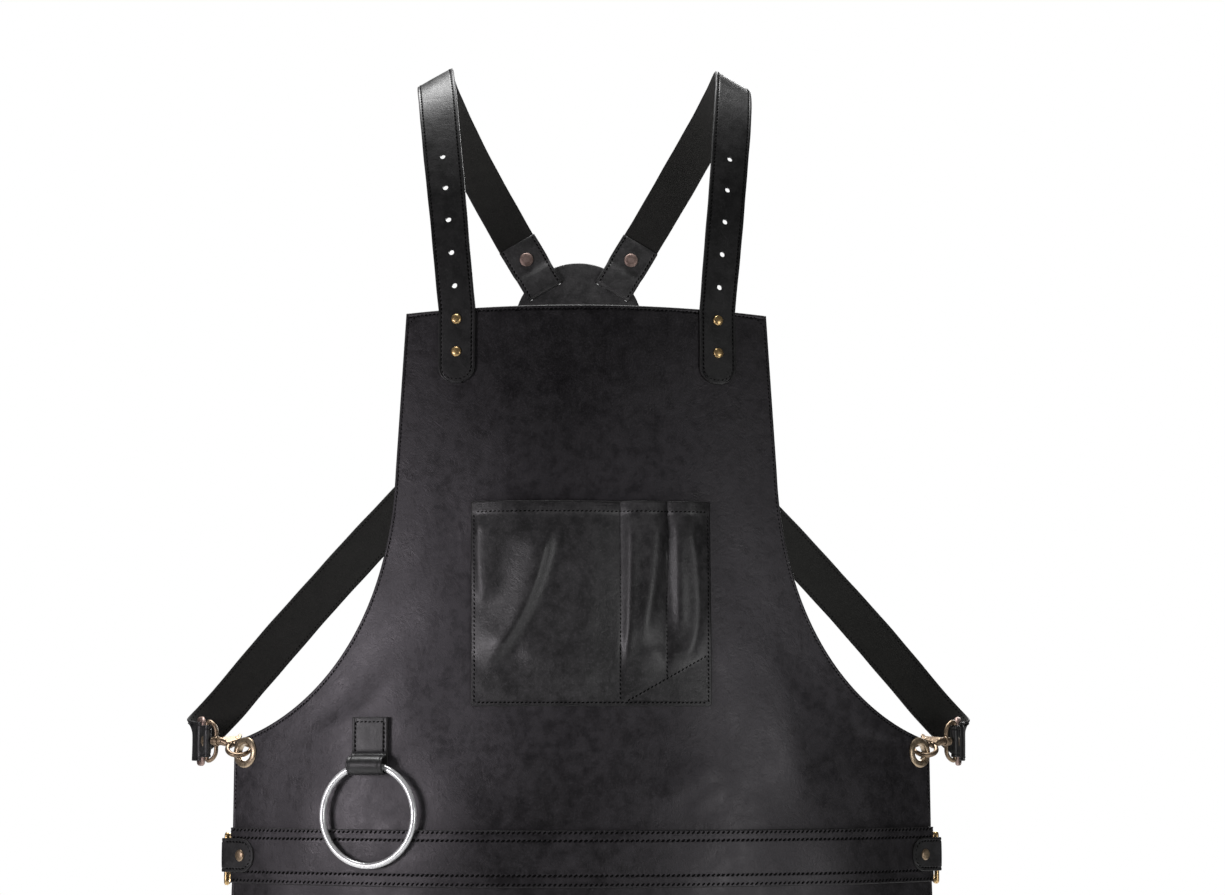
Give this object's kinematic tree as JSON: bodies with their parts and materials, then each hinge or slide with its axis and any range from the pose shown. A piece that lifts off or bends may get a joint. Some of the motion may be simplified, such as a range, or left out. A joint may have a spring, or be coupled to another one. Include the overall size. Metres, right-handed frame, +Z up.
{
  "type": "cross-back leather apron",
  "caption": "Cross-back leather work apron in its worn shape, with riveted shoulder straps, a back yoke, snap hooks in side eyelets, a chest pocket and a tool ring.",
  "frame": {"origin": "midway between the undersides of the two shoulder straps at their tops", "axes": "+Z up, +Y to the wearer's back, +X to the right seen from the front"},
  "size_m": [0.6564, 0.2532, 1.064],
  "materials": {
    "panel_leather": "smooth waxed grain leather, charcoal black, satin",
    "tab_leather": "smooth grain leather, black, satin",
    "strap_leather": "grain outside, black suede inside",
    "polished_steel": "polished",
    "bright_brass": "lightly aged brass",
    "antique_brass": "antique brass, worn edges",
    "aged_copper": "aged copper"
  },
  "bodies": {
    "apron": {"bib_panel": "panel_leather", "waistband": "panel_leather", "skirt_panel": "panel_leather", "chest_pocket": "panel_leather", "ring_loop": "tab_leather", "eyelet_left": "bright_brass", "eyelet_right": "bright_brass", "eyelet_washer_left": "antique_brass", "eyelet_washer_right": "antique_brass", "shoulder_strap_left": "strap_leather", "shoulder_strap_right": "strap_leather", "strap_studs_left": "bright_brass", "strap_studs_right": "bright_brass", "strap_stud_backs_left": "antique_brass", "strap_stud_backs_right": "antique_brass", "back_yoke": "tab_leather", "yoke_rivets_upper": "aged_copper", "yoke_rivets_lower": "aged_copper", "lower_strap_left": "strap_leather", "lower_strap_right": "strap_leather", "adjuster_buckle_left": "antique_brass", "adjuster_buckle_right": "antique_brass", "hook_link_left": "tab_leather", "hook_link_right": "tab_leather", "link_rivet_left": "aged_copper", "link_rivet_right": "aged_copper", "waist_tab_left": "tab_leather", "waist_tab_right": "tab_leather", "waist_tab_rivet_left": "aged_copper", "waist_tab_rivet_right": "aged_copper"},
    "tool_ring": {"tool_ring": "polished_steel"},
    "swivel_eye_left": {"swivel_eye_left": "antique_brass"},
    "snap_hook_left": {"hook_body_left": "antique_brass", "gate_pin_left": "antique_brass"},
    "hook_gate_left": {"hook_gate_left": "antique_brass"},
    "belt_ring_left": {"belt_ring_left": "bright_brass"},
    "swivel_eye_right": {"swivel_eye_right": "antique_brass"},
    "snap_hook_right": {"hook_body_right": "antique_brass", "gate_pin_right": "antique_brass"},
    "hook_gate_right": {"hook_gate_right": "antique_brass"},
    "belt_ring_right": {"belt_ring_right": "bright_brass"}
  },
  "joints": [
    {"name": "tool_ring_swing", "type": "hinge", "parent": "apron", "child": "tool_ring", "pos_m": [-0.17229, -0.10015, -0.56751], "axis": [-0.9197, 0.3919, -0.024], "range_deg": [0, 170]},
    {"name": "eye_swing_left", "type": "hinge", "parent": "apron", "child": "swivel_eye_left", "pos_m": [-0.30593, -0.0046, -0.54887], "axis": [0, 0, -1], "range_deg": [-2.5, 1.5]},
    {"name": "hook_swivel_left", "type": "hinge", "parent": "swivel_eye_left", "child": "snap_hook_left", "pos_m": [-0.29828, -0.00935, -0.54887], "axis": [0.8499, -0.527, 0], "range_deg": [-10, 7]},
    {"name": "gate_hinge_left", "type": "hinge", "parent": "snap_hook_left", "child": "hook_gate_left", "pos_m": [-0.28104, -0.0125, -0.54854], "axis": [0.0117, 0.581, -0.8138], "range_deg": [0, 11], "stiffness_Nm_per_rad": 0.1, "springref_deg": -17.19},
    {"name": "belt_ring_swing_left", "type": "hinge", "parent": "apron", "child": "belt_ring_left", "pos_m": [-0.28758, -0.02015, -0.64], "axis": [0, 0, -1], "range_deg": [-75, 60]},
    {"name": "eye_swing_right", "type": "hinge", "parent": "apron", "child": "swivel_eye_right", "pos_m": [0.30593, -0.0046, -0.54887], "axis": [0, 0, 1], "range_deg": [-2.5, 1.5]},
    {"name": "hook_swivel_right", "type": "hinge", "parent": "swivel_eye_right", "child": "snap_hook_right", "pos_m": [0.29828, -0.00935, -0.54887], "axis": [0.8499, 0.527, 0], "range_deg": [-10, 7]},
    {"name": "gate_hinge_right", "type": "hinge", "parent": "snap_hook_right", "child": "hook_gate_right", "pos_m": [0.28104, -0.0125, -0.54854], "axis": [0.0117, -0.581, 0.8138], "range_deg": [0, 11], "stiffness_Nm_per_rad": 0.1, "springref_deg": -17.19},
    {"name": "belt_ring_swing_right", "type": "hinge", "parent": "apron", "child": "belt_ring_right", "pos_m": [0.28758, -0.02015, -0.64], "axis": [0, 0, 1], "range_deg": [-75, 60]}
  ]
}
